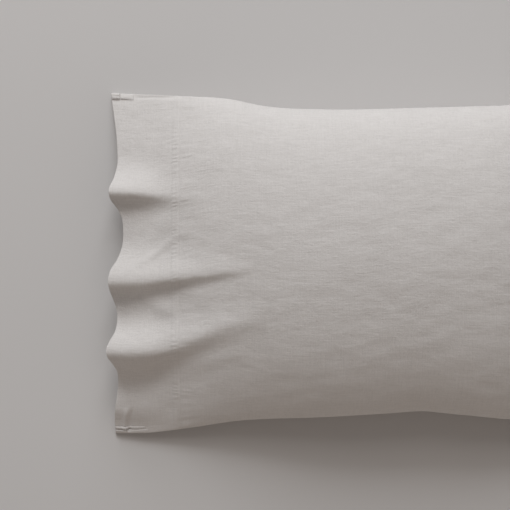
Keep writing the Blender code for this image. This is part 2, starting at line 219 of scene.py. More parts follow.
# (from, to, how many places along), close together at the mouth and round the stitches
STRETCHES = ((0.0, 0.012, 5), (0.012, 0.085, 28), (0.085, 0.106, 22), (0.106, 0.24, 48),
             (0.24, LENGTH, 125))
STATIONS = np.unique(np.concatenate([np.linspace(*stretch) for stretch in STRETCHES]))
NEAR_SEAM = np.array([0.0, 0.001, 0.002, 0.003, 0.004, 0.005, 0.0065, 0.0085, 0.011])
ROW_PLACES = np.concatenate(
    [NEAR_SEAM, np.linspace(0.0145, FLAT_WIDTH - 0.0145, 132), FLAT_WIDTH - NEAR_SEAM[::-1]]
)
ROWS = rows_at(ROW_PLACES)


def crumple(side):
    """Small creases and soft dents over one panel, as a height for every station and row."""
    soft_height, dent_height, crease_height = 0.0011, 0.0005, 0.0006
    heights = np.zeros((len(STATIONS), len(ROWS)))
    lift = 3.0 + 10.0 * side
    for i, u in enumerate(STATIONS):
        for j, v in enumerate(ROW_PLACES):
            soft = noise.noise(Vector((u * 9, v * 14, lift)))
            dents = noise.noise(Vector((u * 30, v * 55, lift + 4)))
            warp = 0.5 * noise.noise(Vector((u * 12, v * 12, lift + 8)))
            creases = abs(noise.noise(Vector((u * 38 + warp, v * 85 + warp, lift + 12))))
            heights[i, j] = soft_height * soft + dent_height * dents
            heights[i, j] += crease_height * (0.35 - creases)
    return heights


def needle_puckers(along):
    """The hem's own relief: its turned-under edge and the small pulls beside the stitch line."""
    relief, raw_edge, ply_end, pulls_start, pull_pitch = 0.0006, 0.0905, 0.1004, 0.102, 0.0165
    edge = 0.5 + 0.5 * np.tanh((along - raw_edge) / 0.0008)
    after = 0.5 - 0.5 * np.tanh((along - ply_end) / 0.0006)
    ply = relief * edge * after
    line = -relief * np.exp(-(((along - STITCH_LINE) / 0.0011) ** 2))
    pull = np.array([0.5 + 0.5 * noise.noise(Vector((v * 22, 2.5, 0.0))) for v in ROW_PLACES])
    pull = np.clip(1.7 * pull - 0.35, 0.1, 1.2)
    drift = np.array([noise.noise(Vector((v * 60, 7.5, 0.0))) for v in ROW_PLACES])
    fan = np.cos(2 * math.pi * ROW_PLACES / pull_pitch + 6 * drift)
    beyond = np.clip((along - pulls_start) / 0.003, 0, 1) * np.exp(-(along - pulls_start) / 0.016)
    return ply + line + relief * pull * fan * np.where(along > pulls_start, beyond, 0.0)


def normals_of(points, side):
    """Unit normals of a grid of points, out of the pillow."""
    along = np.gradient(points, axis=0)
    across = np.gradient(points, axis=1)
    normal = np.cross(across, along) * side
    length = np.linalg.norm(normal, axis=-1, keepdims=True)
    return normal / np.maximum(length, 1e-12)


def corner_folds(along, y):
    """The short folds where the lower seam's thick end holds the mouth's corner stiff."""
    fold = 0.0
    for place, height, reach in ((0.0175, 0.0030, 0.0033), (0.0240, -0.0024, 0.0035)):
        fold = fold + height * np.exp(-(((along - place - 0.12 * (y + 0.225)) / reach) ** 2))
    fold *= np.clip((-0.203 - y) / 0.008, 0, 1) * np.clip((y + 0.2405) / 0.004, 0, 1)
    groove = -0.0011 * np.exp(-(((0.2355 - y - 0.01 * along) / 0.0016) ** 2))
    groove *= np.clip((0.11 - along) / 0.03, 0, 1) * np.clip((along - 0.031) / 0.01, 0, 1)
    return fold + groove


def make_skin(side):
    """The outer surface of one panel, as its points and normals."""
    points = shaped(STATIONS, ROWS, side)
    normals = normals_of(points, side)
    along, across = np.meshgrid(STATIONS, ROWS, indexing="ij")
    share = np.sin(math.pi * across)
    to_edges = np.minimum(1, share / 0.25) * np.minimum(1, (LENGTH - along) / 0.03)
    relief = crumple(side) * to_edges
    relief += needle_puckers(along) * np.minimum(1, share / 0.12)
    if side == FACE:
        relief += corner_folds(along, points[..., 1])
    points = points + normals * relief[..., None]
    points[..., 2] = np.maximum(points[..., 2], 0.0)
    return points, normals_of(points, side)


skins = {side: make_skin(side) for side in (FACE, BACK)}


def put_in_scene(name, data):
    """A new object in the scene."""
    obj = bpy.data.objects.new(name, data)
    bpy.context.scene.collection.objects.link(obj)
    return obj


def every_second(count):
    """Every second place of this many, with the last one."""
    return np.unique(np.append(np.arange(0, count, 2), count - 1))


def puffed(face, back, growth, pressure, cap):
    """How both sides of a soft form move in a short cloth simulation.

    The cloth is cut larger than the form by growth and swells a little, so that it gathers beside
    the seams, which are pinned. No point moves further than cap.
    """
    last_frame, stiffness = 20, 30.0
    columns, rows = face.shape[:2]
    face, back = face.copy(), back.copy()
    face[:, [0, -1]] = back[:, [0, -1]] = (face[:, [0, -1]] + back[:, [0, -1]]) / 2
    ring = np.concatenate([face, back[:, -2:0:-1]], axis=1)
    points, size = ring.reshape(-1, 3), ring.shape[1]
    index = np.arange(len(points)).reshape(columns, size)
    index = np.concatenate([index, index[:, :1]], axis=1)
    quads = np.stack([index[:-1, :-1], index[:-1, 1:], index[1:, 1:], index[1:, :-1]], axis=-1)
    mesh = bpy.data.meshes.new("soft_form")
    mesh.from_pydata(points.tolist(), [], quads.reshape(-1, 4).tolist())
    form = put_in_scene("soft_form", mesh)
    group = form.vertex_groups.new(name="held")
    held = np.zeros((columns, size))
    held[[0, -1]] = held[:, [0, rows - 1]] = 1.0
    group.add(np.flatnonzero(held).tolist(), 1.0, "REPLACE")
    tool = form.modifiers.new("cloth", "CLOTH")
    settings = tool.settings
    settings.quality, settings.mass, settings.air_damping = 8, 0.02, 2.0
    settings.tension_stiffness = settings.compression_stiffness = stiffness
    settings.shear_stiffness, settings.bending_stiffness = 10.0, 0.02
    settings.use_pressure, settings.uniform_pressure_force = True, pressure
    settings.effector_weights.gravity = 0.0
    settings.vertex_group_mass = "held"
    settings.shrink_min = -growth
    tool.collision_settings.use_collision = False
    tool.point_cache.frame_start, tool.point_cache.frame_end = 1, last_frame
    for number in range(1, last_frame + 1):
        bpy.context.scene.frame_set(number)
    moved = form.evaluated_get(bpy.context.evaluated_depsgraph_get()).to_mesh()
    places = np.empty(len(points) * 3)
    moved.vertices.foreach_get("co", places)
    bpy.context.scene.frame_set(1)
    bpy.data.objects.remove(form)
    moves = places.reshape(-1, 3) - points
    length = np.linalg.norm(moves, axis=1, keepdims=True)
    moves *= cap * np.tanh(length / cap) / np.maximum(length, 1e-9)
    moves = moves.reshape(columns, size, 3)
    return moves[:, :rows], np.concatenate([moves[:, :1], moves[:, : rows - 2 : -1]], axis=1)


def read_grid(grid, stations, rows, along, across):
    """Reads a grid that is known at these stations and rows, at places between them."""
    i = np.interp(along, stations, np.arange(len(stations)))
    j = np.interp(across, rows, np.arange(len(rows)))
    i0 = np.minimum(i.astype(int), len(stations) - 2)
    j0 = np.minimum(j.astype(int), len(rows) - 2)
    s, t = (i - i0)[..., None], (j - j0)[..., None]
    near = grid[i0, j0] * (1 - t) + grid[i0, j0 + 1] * t
    far = grid[i0 + 1, j0] * (1 - t) + grid[i0 + 1, j0 + 1] * t
    return near * (1 - s) + far * s


def gathered(sides, **cut):
    """How the points of a face and of a back move, simulated on every second column and row."""
    columns, rows = (every_second(count) for count in sides[0].shape[:2])
    coarse = [side[np.ix_(columns, rows)] for side in sides]
    every = np.arange(columns[-1] + 1)[:, None], np.arange(rows[-1] + 1)[None, :]
    return [read_grid(moves, columns, rows, *every) for moves in puffed(*coarse, **cut)]


def gather_closed_end():
    """The case is looser than the insert, and gathers at the closed end's seam and corners."""
    start = int(np.searchsorted(STATIONS, 0.36))
    fade_start, fade_reach = 0.50, 0.14
    fade = np.clip((STATIONS[start:] - fade_start) / fade_reach, 0, 1)
    fade = (fade * fade * (3 - 2 * fade))[:, None, None]
    sides = [skins[side][0][start:] for side in (FACE, BACK)]
    all_moves = gathered(sides, growth=0.035, pressure=0.8, cap=0.006)
    for side, moves in zip((FACE, BACK), all_moves):
        points = skins[side][0].copy()
        points[start:] += moves * fade
        points[..., 2] = np.maximum(points[..., 2], 0.0)
        skins[side] = points, normals_of(points, side)


gather_closed_end()


def read_off(points, normals, stations, rows, along, across, depth):
    """Points this deep inside a grid's surface, at places between its stations and its rows."""
    along, across, depth = np.broadcast_arrays(along, across, depth)
    surface, outward = (
        read_grid(grid, stations, rows, along, across) for grid in (points, normals)
    )
    return surface - outward * depth[..., None]


def on_skin(side, along, across, depth=0.0):
    """Points this deep inside one panel's outer surface."""
    return read_off(*skins[side], STATIONS, ROWS, along, across, depth)


# ---- Linen ----
# Plain-woven stonewashed linen, warm light grey. Its threads vary in thickness, so that it shows
# thin slubs both ways, and it is matt with a little fuzz.


def put(tree, socket, value):
    """Links a socket to another's output, or sets its own value."""
    if isinstance(value, bpy.types.NodeSocket):
        tree.links.new(value, socket)
    else:
        socket.default_value = value


def add_node(tree, kind, inputs=(), **settings):
    """A node with these settings and inputs."""
    made = tree.nodes.new(kind)
    for key, value in settings.items():
        setattr(made, key, value)
    for key, value in dict(inputs).items():
        put(tree, made.inputs[key], value)
    return made


class Shader:
    """Builds a material's nodes: one call makes a node and gives its output."""

    def __init__(self, name):
        self.material = bpy.data.materials.new(name)
        self.material.use_nodes = True
        self.tree = self.material.node_tree
        self.surface = self.tree.nodes["Principled BSDF"]

    def node(self, kind, inputs=(), **settings):
        return add_node(self.tree, kind, inputs, **settings)

    def look(self, inputs):
        """Gives the surface these inputs."""
        for key, value in inputs.items():
            put(self.tree, self.surface.inputs[key], value)
        return self.material

    def cloth_measure(self):
        return self.node("ShaderNodeUVMap", uv_map="cloth").outputs["UV"]

    def scaled(self, vector, scale):
        made = self.node("ShaderNodeMapping", {"Vector": vector, "Scale": scale})
        return made.outputs["Vector"]

    def split(self, vector):
        return self.node("ShaderNodeSeparateXYZ", {"Vector": vector}).outputs

    def noise(self, vector, scale=1.0, detail=2.0, roughness=0.5):
        made = self.node(
            "ShaderNodeTexNoise",
            {"Vector": vector, "Scale": scale, "Detail": detail, "Roughness": roughness},
        )
        return made.outputs["Fac"]

    def math(self, operation, a, b=0.0):
        made = self.node("ShaderNodeMath", {0: a, 1: b}, operation=operation)
        return made.outputs["Value"]

    def mixed(self, share, dark, light):
        made = self.node("ShaderNodeMix", data_type="RGBA")
        for key, value in (("Factor", share), ("A", (*dark, 1.0)), ("B", (*light, 1.0))):
            put(self.tree, made.inputs[key], value)
        return made.outputs["Result"]

    def ramp(self, value, low, high, start=0.0, end=1.0):
        made = self.node(
            "ShaderNodeMapRange",
            {"Value": value, "From Min": start, "From Max": end, "To Min": low, "To Max": high},
        )
        return made.outputs["Result"]

    def bump(self, height, distance, strength=1.0, normal=None):
        made = self.node(
            "ShaderNodeBump", {"Height": height, "Distance": distance, "Strength": strength}
        )
        if normal is not None:
            put(self.tree, made.inputs["Normal"], normal)
        return made.outputs["Normal"]


def hem_relief(s, uv, place):
    """The small pulls that the stitches make beside the hem line, as a height."""
    along, across, _ = s.split(uv)
    drift = s.noise(s.scaled(uv, (0.0, 45.0, 1.0)), detail=1.0)
    strong = s.ramp(s.noise(s.scaled(uv, (0.0, 17.0, 1.0)), detail=0.0), 0.0, 1.0, 0.40, 0.68)
    total = None
    for middle, reach, gap, deep in ((0.0052, 0.0062, 0.0064, 1.0), (-0.011, 0.0125, 0.0105, 0.6)):
        off = s.math("DIVIDE", s.math("SUBTRACT", along, place + middle), reach)
        near = s.math("MAXIMUM", s.math("SUBTRACT", 1.0, s.math("MULTIPLY", off, off)), 0.0)
        turn = s.math("MULTIPLY", across, 2 * math.pi / gap)
        turn = s.math("ADD", turn, s.math("MULTIPLY", drift, 14.0))
        wave = s.math("MULTIPLY", s.math("SINE", turn), deep)
        rungs = s.math("MULTIPLY", s.math("MULTIPLY", wave, near), strong)
        total = rungs if total is None else s.math("ADD", total, rungs)
    return total


def woven(name, light, dark, pitch, slub, weave_depth, roughness=0.9, sheen=0.35, hem=None):
    """A woven cloth: uneven threads both ways in the cloth's own measure, colour and relief."""
    s = Shader(name)
    uv = s.cloth_measure()
    warp = s.noise(s.scaled(uv, (38.0, 520.0, 1.0)), detail=3.0, roughness=0.7)
    weft = s.noise(s.scaled(uv, (520.0, 30.0, 1.0)), detail=3.0, roughness=0.7)
    threads = s.math("ADD", s.math("MULTIPLY", warp, 0.6), s.math("MULTIPLY", weft, 0.4))
    cloudy = s.noise(uv, scale=14.0, detail=4.0, roughness=0.6)
    mottle = s.noise(uv, scale=260.0, detail=3.0, roughness=0.7)
    tone = s.ramp(threads, -slub, slub, 0.36, 0.64)
    tone = s.math("ADD", tone, s.ramp(cloudy, -0.12, 0.12, 0.3, 0.7))
    tone = s.math("ADD", tone, s.ramp(mottle, -0.3, 0.3, 0.3, 0.7))
    share = s.node("ShaderNodeClamp", {"Value": s.math("ADD", tone, 0.5)}).outputs["Result"]
    over, under, _ = s.split(s.scaled(uv, (math.pi / pitch, math.pi / pitch, 1.0)))
    weave = s.math("MULTIPLY", s.math("SINE", over), s.math("SINE", under))
    normal = s.bump(weave, weave_depth)
    normal = s.bump(threads, 0.0010, 0.5, normal)
    normal = s.bump(mottle, 0.0006, 0.5, normal)
    rumple = s.noise(s.scaled(uv, (70.0, 150.0, 1.0)), detail=3.0, roughness=0.6)
    normal = s.bump(rumple, 0.0014, 0.34, normal)
    if hem is not None:
        normal = s.bump(hem_relief(s, uv, hem), 0.0004, 0.6, normal)
    return s.look({"Base Color": s.mixed(share, dark, light), "Normal": normal,
                   "Roughness": roughness, "Specular IOR Level": 0.2,
                   "Sheen Weight": sheen, "Sheen Roughness": 0.6})


LINEN_WEAVE = {"light": (0.685, 0.651, 0.631), "dark": (0.615, 0.584, 0.563), "pitch": 0.00056,
               "slub": 0.5, "weave_depth": 0.00006}
linen = woven("grey_linen", **LINEN_WEAVE)
hemmed_linen = woven("hemmed_grey_linen", hem=(LENGTH - STITCH_LINE) * FLAT_LENGTH / LENGTH,
                     **LINEN_WEAVE)

# ---- Case face and back ----
# Each panel is one cut of linen: it runs from the closed end to the mouth, folds back inside there
# into a hem 4 inches deep, and its raw edge is turned under before the hem is stitched.

HEM_LAYER = 0.0009
HEM_FROM_SEAM = 0.0055


def mesh_of(name, points, faces, flat):
    """A smooth mesh, with the cloth's own measure in metres at each point as its UVs."""
    mesh = bpy.data.meshes.new(name)
    mesh.from_pydata(points.tolist(), [], faces)
    corners = flat[[point for face in faces for point in face]]
    layer = mesh.uv_layers.new(name="cloth")
    layer.data.foreach_set("uv", corners.astype(np.float32).reshape(-1))
    mesh.shade_smooth()
    return mesh


def grid_mesh(name, points, u, v, flip=False):
    """A mesh over a grid of points."""
    columns, rows = points.shape[:2]
    index = np.arange(columns * rows).reshape(columns, rows)
    a, b, c, d = index[:-1, :-1], index[1:, :-1], index[1:, 1:], index[:-1, 1:]
    quads = np.stack([a, d, c, b] if flip else [a, b, c, d], axis=-1).reshape(-1, 4)
    flat = np.stack([np.broadcast_to(part, (columns, rows)) for part in (u, v)], axis=-1)
    return mesh_of(name, points.reshape(-1, 3), quads.tolist(), flat.reshape(-1, 2))


def add(name, data, finish):
    data.materials.append(finish)
    return put_in_scene(name, data)


def settle(obj):
    """Replaces an object that has modifiers, or a curve, by its plain finished mesh."""
    evaluated = obj.evaluated_get(bpy.context.evaluated_depsgraph_get())
    mesh = bpy.data.meshes.new_from_object(evaluated)
    name, finishes = obj.name, [slot.material for slot in obj.material_slots]
    bpy.data.objects.remove(obj)
    mesh.name = name
    mesh.materials.clear()
    for finish in finishes:
        mesh.materials.append(finish)
    mesh.shade_smooth()
    return put_in_scene(name, mesh)


def cloth(name, points, u, v, thickness, finish, flip=False):
    """A piece of cloth: a grid of points given a thickness."""
    obj = add(name, grid_mesh(name, points, u, v, flip), finish)
    thick = obj.modifiers.new("thickness", "SOLIDIFY")
    thick.thickness, thick.offset = thickness, 0.0
    return settle(obj)


def finish_piece(obj, body, slot, *nodes):
    """Hands a finished piece to the frame under its body and hides the parts it stands for. The
    case's pieces get a mesh of their own.
    """
    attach(obj, body)
    if nodes:
        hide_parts(*nodes)
    if body == "case":
        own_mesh(obj)
    return obj


def hem_path():
    """(along, depth) from the closed end to the mouth, round the fold and back to the stitches."""
    layer = HEM_LAYER
    out = [(along, 0.0) for along in STATIONS[::-1] if along > layer]
    turns = np.linspace(math.pi / 2, 3 * math.pi / 2, 7)
    out += [(layer / 2 * (1 + math.cos(a)), layer / 2 * (1 - math.sin(a))) for a in turns]
    out += [(along, layer) for along in STATIONS if layer < along < HEM_DEPTH - layer][::2]
    tucks = np.linspace(math.pi / 2, -math.pi / 2, 5)
    out += [
        (HEM_DEPTH - layer / 2 * (1 - math.cos(a)), layer * 1.5 - layer / 2 * math.sin(a))
        for a in tucks
    ]
    last = [along for along in STATIONS[::-1] if 0.092 < along < HEM_DEPTH - layer]
    out += [(along, 2 * layer) for along in last[::2]]
    return np.array(out)


def make_case_panel(name, side, rows, *nodes):
    path = hem_path()
    inner = np.clip((path[:, 1] / HEM_LAYER), 0, 1)[:, None]
    edge = inner * row_in(path[:, :1], HEM_FROM_SEAM)
    across = np.clip(rows[None, :], edge, 1 - edge)
    points = on_skin(side, path[:, :1], across, path[:, 1:] + LINEN / 2)
    walked = np.cumsum(np.hypot(*np.diff(path, axis=0, prepend=path[:1]).T))
    steps = np.linalg.norm(np.diff(points, axis=1, prepend=points[:, :1]), axis=-1)
    share = np.cumsum(steps, axis=1)
    u, v = walked[:, None] * FLAT_LENGTH / LENGTH, share / share[:, -1:] * FLAT_WIDTH
    obj = cloth(name, points, u, v, LINEN, hemmed_linen, flip=side == FACE)
    finish_piece(obj, "case", "case_linen", *nodes)


make_case_panel("case_face", FACE, ROWS, "case_face_panel", "face_hem_ply")
make_case_panel("case_back", BACK, ROWS[::2], "case_back_panel", "back_hem_ply")

# ---- Side seams and the closed end's seam ----
# The two panels are sewn face to face and turned, so each seam's allowance lies inside as one flat
# strip. At the mouth's corners the seam ends are folded back over the hem and show as a thick tab.

SEAM_WIDTH = 0.009
SEAM_CLOTH = 0.001
TAB_HEIGHT = 0.0032


def tube(rings, looped=False):
    """A closed skin through rings of points, as points, faces and the cloth's own measure."""
    rings = np.asarray(rings, float)
    count, size = rings.shape[:2]
    index = np.arange(count * size).reshape(count, size)
    around = np.concatenate([index, index[:, :1]], axis=1)
    if looped:
        around = np.concatenate([around, around[:1]], axis=0)
    corners = around[:-1, :-1], around[1:, :-1], around[1:, 1:], around[:-1, 1:]
    faces = np.stack(corners, axis=-1).reshape(-1, 4).tolist()
    if not looped:
        faces += [index[0].tolist(), index[-1, ::-1].tolist()]
    middles = rings.mean(axis=1)
    u = np.concatenate([[0], np.cumsum(np.linalg.norm(np.diff(middles, axis=0), axis=1))])
    steps = np.linalg.norm(np.diff(rings, axis=1, prepend=rings[:, :1]), axis=-1)
    flat = np.stack([np.broadcast_to(u[:, None], (count, size)), np.cumsum(steps, axis=1)], axis=-1)
    points = rings.reshape(-1, 3)
    inside = sum(
        np.dot(points[f[0]], np.cross(points[f[k]], points[f[k + 1]]))
        for f in faces
        for k in range(1, len(f) - 1)
    )
    if inside < 0:
        faces = [face[::-1] for face in faces]
    return points, faces, flat.reshape(-1, 2)


def piece_of(name, parts, finish):
    """One object from the skins that tube makes."""
    points, faces, flat, start = [], [], [], 0
    for part_points, part_faces, part_flat in parts:
        points.append(part_points)
        flat.append(part_flat)
        faces += [[start + i for i in face] for face in part_faces]
        start += len(part_points)
    return add(name, mesh_of(name, np.concatenate(points), faces, np.concatenate(flat)), finish)


def seam_strip(outer, inward):
    """The skin of a flat strip from these outer points inward, its outer edge rounded."""
    thin = SEAM_CLOTH / 2
    turns = np.linspace(math.pi / 2, 3 * math.pi / 2, 5)
    outline = [(thin * (1 + math.cos(a)), thin * math.sin(a)) for a in turns]
    outline += [(SEAM_WIDTH / 2, -thin), (SEAM_WIDTH, -0.7 * thin)]
    outline += [(SEAM_WIDTH, 0.7 * thin), (SEAM_WIDTH / 2, thin)]
    outline = np.array(outline)
    inward = np.broadcast_to(inward, outer.shape)
    return tube(
        outer[:, None]
        + inward[:, None] * (outline[None, :, :1] + 0.0001)
        + np.array([0.0, 0.0, 1.0]) * outline[None, :, 1:]
    )


def raised_band(start, end, insets, height, lower):
    """A band of folded cloth on the face beside a side seam, its edges rounded."""
    alongs = np.linspace(start, end, max(10, round((end - start) / 0.0007)))[:, None]
    reach = np.linspace(0, 1, 13)[None, :]
    rows = row_in(alongs, insets[0] + (insets[1] - insets[0]) * reach, lower)
    s = (alongs - start) / (end - start)
    body = (1 - np.abs(2 * reach - 1) ** 5) * (1 - np.abs(2 * s - 1) ** 12) * height(s)
    top = on_skin(FACE, alongs, rows, -body)
    bottom = on_skin(FACE, alongs, rows, LINEN / 2)
    return tube(np.concatenate([top, bottom[:, ::-1]], axis=1))


def make_side_seam(name, lower, bands):
    stations = np.linspace(0.0006, LENGTH - 0.0006, 240)
    across = 1.0 if lower else 0.0
    edges = [on_skin(side, stations, np.full_like(stations, across)) for side in (FACE, BACK)]
    outer = (edges[0] + edges[1]) / 2
    parts = [seam_strip(outer, np.array([0.0, 1.0 if lower else -1.0, 0.0]))] + bands
    finish_piece(piece_of(name + "_allowance", parts, linen), "case", "case_linen", name)


make_side_seam(
    "upper_side_seam",
    False,
    [
        raised_band(0.0002, 0.0125, (0.0, 0.0105), lambda s: TAB_HEIGHT, False),
        raised_band(0.0128, 0.0330, (0.0, 0.0098), lambda s: 0.0022 - 0.0012 * s, False),
    ],
)
make_side_seam(
    "lower_side_seam",
    True,
    [
        raised_band(0.0002, 0.0520, (0.0, 0.0058), lambda s: 0.0024 - 0.0014 * s, True),
        raised_band(0.0002, 0.0480, (0.0066, 0.0100), lambda s: 0.0024 - 0.0016 * s, True),
    ],
)


def make_closed_end_seam():
    rows = np.linspace(0.04, 0.96, 160)
    edges = [on_skin(side, np.full_like(rows, LENGTH), rows) for side in (FACE, BACK)]
    seam = piece_of(
        "closed_end_seam_allowance",
        [seam_strip((edges[0] + edges[1]) / 2, np.array([-1.0, 0.0, 0.0]))],
        linen,
    )
    finish_piece(seam, "case", "case_linen", "closed_end_seam")


make_closed_end_seam()

# ---- Stitching of the case ----
# The hem is held by one row of lockstitch in linen thread, which shows on both sides of each panel.
# At the mouth each side seam is locked by a short bar of dense stitches.

STITCH_PITCH, STITCH_LENGTH, THREAD_RADIUS = 0.0032, 0.0027, 0.00019


def make_thread(name, color):
    s = Shader(name)
    twist = s.noise(s.node("ShaderNodeTexCoord").outputs["Object"], scale=2600.0, detail=2.0)
    shaded = [0.86 * part for part in color]
    return s.look({"Base Color": s.mixed(twist, shaded, color),
                   "Normal": s.bump(twist, 0.0001, 0.6),
                   "Roughness": 0.75, "Specular IOR Level": 0.3})


def stitch_tree():
    """The tree that lays one arched stitch at each pitch along a line."""
    tree = bpy.data.node_groups.new("stitches", "GeometryNodeTree")
    tree.is_modifier = True
    sockets = tree.interface
    made = {}
    for label, kind in (("Line", "Geometry"), ("Pitch", "Float"), ("Length", "Float"),
                        ("Radius", "Float"), ("Turn", "Float"), ("Unevenness", "Float"),
                        ("Seed", "Int"), ("Thread", "Material")):
        made[label] = sockets.new_socket(label, in_out="INPUT", socket_type="NodeSocket" + kind)
    sockets.new_socket("Stitches", in_out="OUTPUT", socket_type="NodeSocketGeometry")

    def node(kind, inputs=(), **settings):
        return add_node(tree, kind, inputs, **settings).outputs

    def worked_out(operation, a, b):
        return node("ShaderNodeMath", {0: a, 1: b}, operation=operation)[0]

    given = node("NodeGroupInput")
    half, other = (worked_out("MULTIPLY", given["Length"], share) for share in (0.5, -0.5))
    dip, rise = (worked_out("MULTIPLY", given["Radius"], share) for share in (-1.2, 2.4))
    start, middle, end = (node("ShaderNodeCombineXYZ", {"X": x, "Z": z})[0]
                          for x, z in ((other, dip), (0.0, rise), (half, dip)))
    arch = node("GeometryNodeCurveQuadraticBezier",
                {"Resolution": 6, "Start": start, "Middle": middle, "End": end})[0]
    ring = node("GeometryNodeCurvePrimitiveCircle", {"Resolution": 6, "Radius": given["Radius"]})[0]
    stitch = node("GeometryNodeCurveToMesh",
                  {"Curve": arch, "Profile Curve": ring, "Fill Caps": True})[0]
    line = node("GeometryNodeMeshToCurve", {"Mesh": given["Line"]})[0]
    places = node("GeometryNodeCurveToPoints", {"Curve": line, "Length": given["Pitch"]},
                  mode="LENGTH")
    out = node("GeometryNodeInputNamedAttribute", {"Name": "out"}, data_type="FLOAT_VECTOR")[0]
    along = node("FunctionNodeAlignRotationToVector", {"Vector": places["Tangent"]}, axis="X")[0]
    upright = node("FunctionNodeAlignRotationToVector", {"Rotation": along, "Vector": out},
                   axis="Z", pivot_axis="X")[0]
    least, most = (worked_out(operation, given["Turn"], given["Unevenness"])
                   for operation in ("SUBTRACT", "ADD"))
    turn = node("FunctionNodeRandomValue", {2: least, 3: most, "Seed": given["Seed"]},
                data_type="FLOAT")[1]
    spin = node("ShaderNodeCombineXYZ", {"Z": turn})[0]
    laid = node("FunctionNodeRotateRotation", {"Rotation": upright, "Rotate By": spin},
                rotation_space="LOCAL")[0]
    copies = node("GeometryNodeInstanceOnPoints",
                  {"Points": places["Points"], "Instance": stitch, "Rotation": laid})[0]
    whole = node("GeometryNodeRealizeInstances", {"Geometry": copies})[0]
    coated = node("GeometryNodeSetMaterial", {"Geometry": whole, "Material": given["Thread"]})[0]
    node("NodeGroupOutput", {"Stitches": coated})
    return tree, {label: socket.identifier for label, socket in made.items()}


stitches, stitch_inputs = stitch_tree()
linen_thread = make_thread("linen_thread", (0.69, 0.655, 0.625))


def sewn(name, lines, thread, **sizes):
    """Stitches along lines, each given as its points and the directions out of the cloth."""
    points, outs, edges = [], [], []
    for line_points, line_outs in lines:
        start = len(points)
        points += line_points.tolist()
        outs += line_outs.tolist()
        edges += [(start + i, start + i + 1) for i in range(len(line_points) - 1)]
    mesh = bpy.data.meshes.new(name)
    mesh.from_pydata(points, edges, [])
    mesh.attributes.new("out", "FLOAT_VECTOR", "POINT").data.foreach_set(
        "vector", np.array(outs, np.float32).reshape(-1))
    obj = add(name, mesh, thread)
    tool = obj.modifiers.new("stitches", "NODES")
    tool.node_group = stitches
    settings = {"Pitch": STITCH_PITCH, "Length": STITCH_LENGTH, "Radius": THREAD_RADIUS,
                "Turn": 0.0, "Unevenness": 0.05, "Seed": 11, "Thread": thread, **sizes}
    for label, value in settings.items():
        tool[stitch_inputs[label]] = value
    return settle(obj)


def line_on(sample, along, across, depth, facing=1):
    """A line of points that sample gives, with the directions out of the cloth's outer side."""
    surface = sample(along, across, depth)
    out = sample(along, across, depth - 0.001) - surface
    return surface, out / np.linalg.norm(out, axis=-1, keepdims=True) * facing


def make_hem_stitching(name, side, node):
    count, from_seam = 500, 0.011
    along = np.full(count, STITCH_LINE)
    ends = [row_in(STITCH_LINE, from_seam, lower) for lower in (False, True)]
    rows = np.linspace(*ends, count)

    def sample(*place):
        return on_skin(side, *place)

    outside = line_on(sample, along, rows, 0.0 if side == FACE else 0.0002)
    inside = line_on(sample, along, rows, 0.0024, facing=-1)
    finish_piece(sewn(name, [outside, inside], linen_thread), "case", "case_thread", node)


make_hem_stitching("face_hem_stitches", FACE, "face_hem_stitching")
make_hem_stitching("back_hem_stitches", BACK, "back_hem_stitching")


def make_backtack(name, lower, inset, height, node):
    along = np.linspace(0.0015, 0.0118, 12)
    rows = row_in(along, np.full_like(along, inset), lower)
    line = line_on(lambda *place: on_skin(FACE, *place), along, rows, -height)
    bar = sewn(name, [line], linen_thread, Pitch=0.00042, Length=0.0030, Turn=1.48,
               Unevenness=0.10)
    finish_piece(bar, "case", "case_thread", node)


make_backtack("upper_mouth_bar_of_stitches", False, 0.0046, TAB_HEIGHT, "upper_mouth_backtack")
make_backtack("lower_mouth_bar_of_stitches", True, 0.0032, 0.0021, "lower_mouth_backtack")

# ---- Labels' tape ----
# Blank white satin tape, cut to length. The case's label is folded once and caught by the hem ply.


def make_tape():
    s = Shader("white_label_tape")
    uv = s.cloth_measure()
    ribs = s.math("SINE", s.split(s.scaled(uv, (7000.0, 7000.0, 1.0)))["Y"])
    floats = s.noise(s.scaled(uv, (160.0, 2600.0, 1.0)), detail=2.0)
    return s.look({"Base Color": s.mixed(floats, (0.76, 0.75, 0.72), (0.84, 0.83, 0.81)),
                   "Normal": s.bump(floats, 0.00012, 0.8, s.bump(ribs, 0.00004, 0.6)),
                   "Roughness": 0.42, "Anisotropic": 0.5, "Sheen Weight": 0.1})


label_tape = make_tape()


def make_care_label():
    start, width = 0.044, 0.026
    far, near, lift, bend = 0.057, 0.029, 0.0024, 0.0006
    turns = np.linspace(math.pi / 2, -math.pi / 2, 7)
    fold = [(far + bend * math.cos(a), lift + bend * (1 - math.sin(a))) for a in turns]
    path = [(inset, lift) for inset in np.linspace(near, far - 0.001, 16)] + fold
    path += [(inset, lift + 2 * bend) for inset in np.linspace(far - 0.001, near + 0.001, 16)]
    insets, depths = (np.array(column)[None, :] for column in zip(*path))
    alongs = np.linspace(start, start + width, 16)[:, None]
    curl = 0.0009 * ((alongs - start) / width - 0.5) ** 2 * 4
    points = on_skin(BACK, alongs, row_in(alongs, insets, lower=True), depths + curl + 0.0002)
    walked = np.concatenate([[0], np.cumsum(np.hypot(np.diff(insets[0]), np.diff(depths[0])))])
    label = cloth("care_label_tape", points, alongs, walked[None, :], 0.0004, label_tape)
    finish_piece(label, "case", "label_tape", "case_care_label")


make_care_label()

# ---- The insert's ticking and piping ----
# A bed pillow stuffed plump: two panels of white cotton joined all round by a corded edge. The
# panels swell between the edges, pull in at the ends, and pucker where the cord gathers them.

